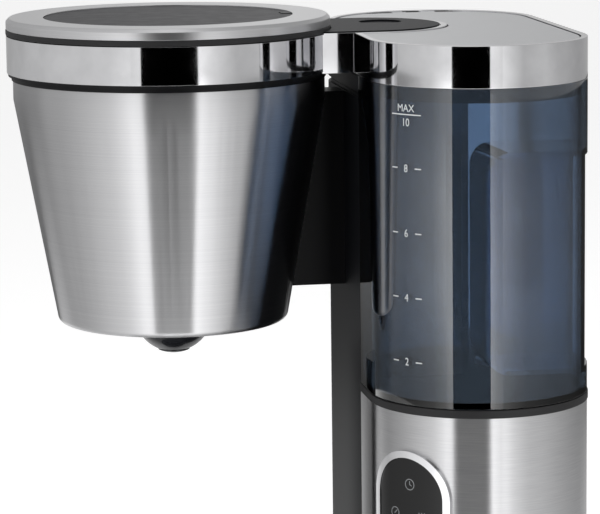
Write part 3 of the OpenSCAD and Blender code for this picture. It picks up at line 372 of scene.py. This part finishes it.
def circle(work, centre, radius, width, sides=40):
    """Adds a thin printed ring in mm."""
    ring = bmesh.new()
    bmesh.ops.create_circle(ring, cap_ends=True, radius=radius, segments=sides)
    ring.faces.ensure_lookup_table()
    disc = ring.faces[0]
    bmesh.ops.inset_region(ring, faces=[disc], thickness=width, use_boundary=True,
                           use_even_offset=True)
    bmesh.ops.delete(ring, geom=[disc], context="FACES_ONLY")
    bmesh.ops.translate(ring, vec=(0, 0, -PRINT / 2), verts=ring.verts)
    bmesh.ops.solidify(ring, geom=ring.faces, thickness=-PRINT)
    bmesh.ops.translate(ring, vec=(centre[0], centre[1], 0), verts=ring.verts)
    add_to(work, ring)


def printed(name, work, axis, radius, turn, height, body, ink):
    """Wraps a flat print in mm round an upright axis, and makes it a piece."""
    bmesh.ops.recalc_face_normals(work, faces=work.faces)
    for v in work.verts:
        angle = turn + v.co.x * MM / radius
        out = radius + (v.co.z + PRINT / 2 + INK_GAP) * MM
        v.co = (axis.x + out * math.sin(angle), axis.y - out * math.cos(angle),
                height + v.co.y * MM)
    mesh = mesh_of(name, work)
    mesh.materials.append(ink)
    piece = in_scene(name, mesh)
    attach(piece, body)


# Cup marks on the front of the tank, in mm from the top line
SCALE_TURN = math.radians(-52)
TOP_MARK = 322 * MM
CUP_STEP = 28.9
EIGHT_CUPS = -23.8
LETTER, SQUEEZE = 3.4, 0.9
WORD, WORD_SQUEEZE = 3.23, 0.95
ABOVE_LINE, UNDER_LINE = 2.9, -3.4
TOP_LINE, SHORT_LINE, LINE_W = 16.5, 3.3, 0.5
LINE_OUT = 6.6
scale = bmesh.new()
lettering(scale, "MAX", WORD, WORD_SQUEEZE, (0, ABOVE_LINE))
stroke(scale, (0, 0), TOP_LINE, LINE_W)
lettering(scale, "10", LETTER, SQUEEZE, (0, UNDER_LINE))
for i, cups in enumerate(("8", "6", "4", "2")):
    mark = EIGHT_CUPS - CUP_STEP * i
    lettering(scale, cups, LETTER, SQUEEZE, (0, mark))
    for side in (-1, 1):
        stroke(scale, (side * LINE_OUT, mark), SHORT_LINE, LINE_W)
printed("scale_marks", scale, FRONT_AXIS, TOWER_R, SCALE_TURN, TOP_MARK,
        "water_tank", WHITE_INK)

# Signs on the control panel, in mm from the top one: a clock over a dial and rising steam
PANEL_TURN = math.radians(-51.5)
FACE_R = TOWER_R + 1.3 * MM
TOP_SIGN = 156 * MM
SIGN_R = 2.6
LINE = 0.38
CLOCK, DIAL, SAUCER = (1.7, 0), (-7.1, -14), (8, -14.8)
SAUCER_W = 4.2
STEAM_STEP, STEAM_UP = 1.4, 1.7
signs = bmesh.new()
for centre in (CLOCK, DIAL):
    circle(signs, centre, SIGN_R, LINE)
# each hand or wisp: the sign it belongs to, its middle from there, length and slant
for sign, right, up, length, slant in (
        (CLOCK, 0, 0.75, 1.6, 90), (CLOCK, 0.5, -0.25, 1.3, -28), (DIAL, 0.5, 0.5, 2.4, 45),
        *((SAUCER, STEAM_STEP * side, STEAM_UP, 1.9, 75) for side in (-1, 0, 1))):
    stroke(signs, (sign[0] + right, sign[1] + up), length, LINE, math.radians(slant))
stroke(signs, SAUCER, SAUCER_W, LINE)
printed("panel_signs", signs, FRONT_AXIS, FACE_R, PANEL_TURN, TOP_SIGN,
        "machine", GREY_INK)

# ------------------------------------------------------------------ studio

CAMERA_TURN = math.radians(9.73)
CAMERA_DIP = 0.1616
CAMERA_ROLL = -0.0118
CAMERA_AT = (-0.2398, -1.42557, 0.48333)
LENS_MM, SENSOR_MM = 189.03, 36
CLIP_NEAR, CLIP_FAR = 0.05, 60

ahead = Vector((math.sin(CAMERA_TURN) * math.cos(CAMERA_DIP),
                math.cos(CAMERA_TURN) * math.cos(CAMERA_DIP), -math.sin(CAMERA_DIP)))
rightward = Vector((math.cos(CAMERA_TURN), -math.sin(CAMERA_TURN), 0))
upright = rightward.cross(ahead)
across = math.cos(CAMERA_ROLL) * rightward + math.sin(CAMERA_ROLL) * upright
above = math.cos(CAMERA_ROLL) * upright - math.sin(CAMERA_ROLL) * rightward

camera_data = bpy.data.cameras.new("camera")
camera_data.sensor_width = SENSOR_MM
camera_data.lens = LENS_MM
camera_data.clip_start = CLIP_NEAR
camera_data.clip_end = CLIP_FAR
camera = in_scene("camera", camera_data)
camera.matrix_world = Matrix.Translation(CAMERA_AT) @ Matrix(
    (across, above, -ahead)).transposed().to_4x4()
bpy.context.scene.camera = camera

toward = Vector((-math.sin(CAMERA_TURN), -math.cos(CAMERA_TURN), 0))
MIDDLE = Vector((0, 0, 0.2))
# The soft boxes: how far a side one stands sideways, forward and up, its width, height and
# power; then how far up the top one hangs, its width and its power
SIDE_AWAY, SIDE_AHEAD, SIDE_UP = 1.0, 0.9, Vector((0, 0, 0.4))
SIDE_W, SIDE_H, SIDE_POWER = 1.0, 1.4, 4.5
TOP_UP, TOP_W, TOP_POWER = Vector((0, 0, 1.4)), 1.6, 9.0


def lamp(name, place, width, height, power):
    """A soft box that faces the middle of the machine; gloss sees the tent instead."""
    data = bpy.data.lights.new(name, "AREA")
    data.shape = "RECTANGLE"
    data.size = width
    data.size_y = height
    data.energy = power
    box = in_scene(name, data)
    box.matrix_world = (Matrix.Translation(place)
                        @ (MIDDLE - place).to_track_quat("-Z", "Y").to_matrix().to_4x4())
    box.visible_camera = False
    box.visible_glossy = False
    box.visible_transmission = False


for name, side in (("left_box", -1), ("right_box", 1)):
    lamp(name, MIDDLE + rightward * side * SIDE_AWAY + toward * SIDE_AHEAD + SIDE_UP,
         SIDE_W, SIDE_H, SIDE_POWER)
lamp("top_box", MIDDLE + TOP_UP, TOP_W, TOP_W, TOP_POWER)

# White beyond the machine for the eye, gloss and clear parts; softer as plain light.
# Black flags stand far out on both sides, where only clear parts show them.
FLAG_FROM, FLAG_TO, FLAG_LEVEL = 0.55, 0.8, 0.04
PLAIN_LIGHT = 0.5
world = bpy.data.worlds.new("studio")
bpy.context.scene.world = world
world.use_nodes = True
sky = world.node_tree
path = add_node(sky, "ShaderNodeLightPath")
seen = add_node(sky, "ShaderNodeMath", links={0: path.outputs["Is Camera Ray"],
                                              1: path.outputs["Is Glossy Ray"]},
                operation="MAXIMUM")
way = add_node(sky, "ShaderNodeSeparateXYZ",
               links={"Vector": add_node(sky, "ShaderNodeTexCoord").outputs["Generated"]})
sideways = add_node(sky, "ShaderNodeMath", links={0: way.outputs["X"]}, operation="ABSOLUTE")
flags = add_node(sky, "ShaderNodeMapRange",
                 {"From Min": FLAG_FROM, "From Max": FLAG_TO, "To Min": 1.0,
                  "To Max": FLAG_LEVEL},
                 {"Value": sideways.outputs["Value"]})
clear = add_node(sky, "ShaderNodeMath", links={0: flags.outputs["Result"],
                                               1: path.outputs["Is Transmission Ray"]},
                 operation="MULTIPLY")
white = add_node(sky, "ShaderNodeMath", links={0: seen.outputs["Value"],
                                               1: clear.outputs["Value"]},
                 operation="MAXIMUM")
plain = add_node(sky, "ShaderNodeMapRange", {"To Min": PLAIN_LIGHT, "To Max": 0.0},
                 {"Value": path.outputs["Is Transmission Ray"]})
strength = add_node(sky, "ShaderNodeMath", links={0: white.outputs["Value"],
                                                  1: plain.outputs["Result"]},
                    operation="MAXIMUM")
sky.nodes["Background"].inputs["Color"].default_value = (1, 1, 1, 1)
sky.links.new(strength.outputs["Value"], sky.nodes["Background"].inputs["Strength"])

# Pale floor of matt backdrop paper that keeps the machine's shadow and runs out to white
FLOOR_HALF = 12
FLOOR_TONE, FLOOR_ROUGH, FLOOR_GLOW = "#dcdcdc", 0.9, 0.5
work = bmesh.new()
bmesh.ops.create_grid(work, x_segments=1, y_segments=1, size=FLOOR_HALF)
floor_mesh = mesh_of("floor", work)
floor = in_scene("floor", floor_mesh)
floor_paint, paper, shader = new_tree("white_backdrop_paper")
shader.inputs["Base Color"].default_value = linear(FLOOR_TONE)
shader.inputs["Roughness"].default_value = FLOOR_ROUGH
path = add_node(paper, "ShaderNodeLightPath")
seen = add_node(paper, "ShaderNodeMath", links={0: path.outputs["Is Camera Ray"],
                                                1: path.outputs["Is Transmission Ray"]},
                operation="MAXIMUM")
lift = add_node(paper, "ShaderNodeMath", {1: FLOOR_GLOW}, {0: seen.outputs["Value"]},
                operation="MULTIPLY")
shader.inputs["Emission Color"].default_value = (1, 1, 1, 1)
paper.links.new(lift.outputs["Value"], shader.inputs["Emission Strength"])
floor_mesh.materials.append(floor_paint)
floor.visible_glossy = False

# Tent of diffusing cloth that only gloss sees. Its lights stand either side of a gap behind
# the camera, so the cloth is brightest along the gap and falls off towards the back. The
# lights hang low: above CALM_Z the cloth is evener, and below TABLE_Z a white table sends
# light up. Levels are given by the angle, in degrees to the right of the camera's side.
TENT_R = 0.88
TENT_LOW, TENT_HIGH = -1.6, 1.9
TABLE_Z, CALM_Z = 0.0, 0.2445
GAP = (-22.6, 18.7)
GAP_LOW, GAP_HIGH = -0.6, 1.0
UNDER_GAP = 2.1
PEAK = 3.0
CALM = [(-180, 0.75), (-165, 0.5), (-150, 0.4), (-104, 0.57), (-65, 0.68), (-41, 0.77),
        (-28, 0.9), (GAP[0], 0.95), (GAP[1], 1.06), (28, 0.92), (37, 0.7), (47, 0.52),
        (58, 0.55), (70, 0.6), (85, 0.5), (117, 0.39), (150, 0.4), (165, 0.5), (180, 0.75)]
MIDDLE_LIGHT = [(-180, 0.05), (-150, 0.2), (-110, 0.1), (-98, 0.5), (-80, 0.5), (-61, 0.8),
                (-44, 1.2), (-33, 2.0), (-27, 2.6), (GAP[0], 2.2), (GAP[1], 2.9), (28, 1.6),
                (38, 1.0), (50, 0.55), (79, 0.3), (109, 0.15), (129, 0.05), (180, 0.03)]
LOW_LIGHT = [(-180, 0.5), (-160, 0.75), (-145, 1.15), (-130, 0.95), (-118, 0.62),
             (-104, 0.5), (-85, 0.74), (-55, 1.05), (-44, 1.2), (-35, 1.5), (-27, 1.9),
             (GAP[0], 1.8), (GAP[0] + 2, UNDER_GAP), (GAP[1] - 2, UNDER_GAP),
             (GAP[1], 2.0), (30, 2.0), (38, 1.55), (56, 1.15), (70, 1.05), (100, 0.78),
             (125, 0.65), (150, 0.8), (180, 0.6)]
# how the middle lights fade towards their ends, by height
FADE = [(0, 0.4), (0.12, 0.5), (0.25, 0.7), (0.4, 0.95), (0.67, 1), (0.9, 0.65), (1, 0.6)]


def hex_of(level):
    """The sRGB hex code of a linear grey."""
    share = level * 12.92 if level <= 0.0031308 else 1.055 * level ** (1 / 2.4) - 0.055
    return "#" + 3 * f"{round(255 * share):02x}"


def around(tree, turn, levels):
    """A ramp round the tent through levels at angles."""
    return add_node(tree, "ShaderNodeValToRGB", links={"Fac": turn}, stops=[
        (0.5 + angle / 360, hex_of(level / PEAK)) for angle, level in levels]).outputs["Color"]


def cloth(name, turned, calm_z, gap):
    """Lit cloth, its light turned by some degrees and evener above a height, with a dark gap
    between two angles if it has one."""
    made, tree, shader = new_tree(name)
    tree.nodes.remove(shader)
    place = add_node(tree, "ShaderNodeTexCoord").outputs["Object"]
    facing = math.pi / 2 + CAMERA_TURN + math.radians(turned)
    faced = add_node(tree, "ShaderNodeMapping", {"Rotation": (0, 0, facing)}, {"Vector": place})
    turn = add_node(tree, "ShaderNodeTexGradient", links={"Vector": faced.outputs["Vector"]},
                    gradient_type="RADIAL").outputs["Fac"]
    height = add_node(tree, "ShaderNodeSeparateXYZ", links={"Vector": place}).outputs["Z"]
    share = add_node(tree, "ShaderNodeMapRange", {"From Min": TABLE_Z, "From Max": calm_z},
                     {"Value": height}).outputs["Result"]
    fade = add_node(tree, "ShaderNodeValToRGB", links={"Fac": share},
                    stops=[(part, hex_of(level)) for part, level in FADE])
    middle = add_node(tree, "ShaderNodeMixRGB", {"Fac": 1.0}, {
        "Color1": around(tree, turn, MIDDLE_LIGHT), "Color2": fade.outputs["Color"]},
        blend_type="MULTIPLY")
    level_here = around(tree, turn, LOW_LIGHT)
    for bound, above in ((TABLE_Z, middle.outputs["Color"]), (calm_z, around(tree, turn, CALM))):
        passed = add_node(tree, "ShaderNodeMath", {1: bound}, {0: height},
                          operation="GREATER_THAN")
        level_here = add_node(tree, "ShaderNodeMixRGB", links={
            "Fac": passed.outputs["Value"], "Color1": level_here, "Color2": above}
            ).outputs["Color"]
    light = add_node(tree, "ShaderNodeEmission", {"Strength": PEAK}, {"Color": level_here})
    if gap:
        dark = None
        left, right = (0.5 + angle / 360 for angle in gap)
        for value, bound, test in (
                (turn, left, "GREATER_THAN"), (turn, right, "LESS_THAN"),
                (height, GAP_LOW, "GREATER_THAN"), (height, GAP_HIGH, "LESS_THAN")):
            inside = add_node(tree, "ShaderNodeMath", {1: bound}, {0: value}, operation=test)
            dark = inside if dark is None else add_node(
                tree, "ShaderNodeMath", operation="MULTIPLY",
                links={0: dark.outputs["Value"], 1: inside.outputs["Value"]})
        power = add_node(tree, "ShaderNodeMapRange", {"To Min": PEAK, "To Max": 0.0},
                         {"Value": dark.outputs["Value"]})
        tree.links.new(power.outputs["Result"], light.inputs["Strength"])
    tree.links.new(light.outputs["Emission"], tree.nodes["Material Output"].inputs["Surface"])
    return made


def prop(name, material, work):
    """A piece of the studio that only gloss sees."""
    mesh = mesh_of(name, work)
    mesh.materials.append(material)
    piece = in_scene(name, mesh)
    for seen_by in ("camera", "diffuse", "transmission", "shadow", "volume_scatter"):
        setattr(piece, "visible_" + seen_by, False)


def drum(radius, low, high, x=0.0, y=0.0, sides=96):
    """An upright closed cylinder in the making."""
    work = bmesh.new()
    bmesh.ops.create_cone(work, cap_ends=True, segments=sides, radius1=radius, radius2=radius,
                          depth=high - low, matrix=Matrix.Translation((x, y, (high + low) / 2)))
    return work


def hanging(near, out, low, high):
    """A flat upright cloth in the making, between two points of the plan."""
    along = Vector((*out, 0)) - Vector((*near, 0))
    up = Vector((0, 0, high - low))
    middle = (Vector((*near, low)) + Vector((*out, high))) / 2
    work = bmesh.new()
    bmesh.ops.create_grid(
        work, x_segments=1, y_segments=1, size=0.5, matrix=Matrix.Translation(middle)
        @ Matrix((along, up, along.cross(up))).transposed().to_4x4())
    return work


prop("tent", cloth("lit_diffusing_cloth", 0, CALM_Z, GAP), drum(TENT_R, TENT_LOW, TENT_HIGH))

# Each light's own cloth hangs nearer than the tent, so basket and tower mirror its edge at
# different angles. Its brightness is the tent's beside the gap, some degrees further out.
for name, near, out, outward, calm_z in (
        ("right_cloth", (0.0779, -0.529), (0.178, -0.51), 3, 0.285),
        ("left_cloth", (-0.36, -0.614), (-0.43, -0.57), -5, 0.265)):
    prop(name, cloth("near_lit_" + name, outward, calm_z, None),
         hanging(near, out, GAP_LOW, GAP_HIGH))

# A slim rolled black card between basket and tower, which only gloss sees, paints a dark
# reflection down the tower's left edge
CARD_X, CARD_Y, CARD_R = 0.002, 0.02, 0.014
CARD_LOW, CARD_HIGH = 0.0295, 0.1945
prop("card", BLACK, drum(CARD_R, CARD_LOW, CARD_HIGH, CARD_X, CARD_Y, sides=48))

bpy.context.scene.view_settings.view_transform = "Standard"
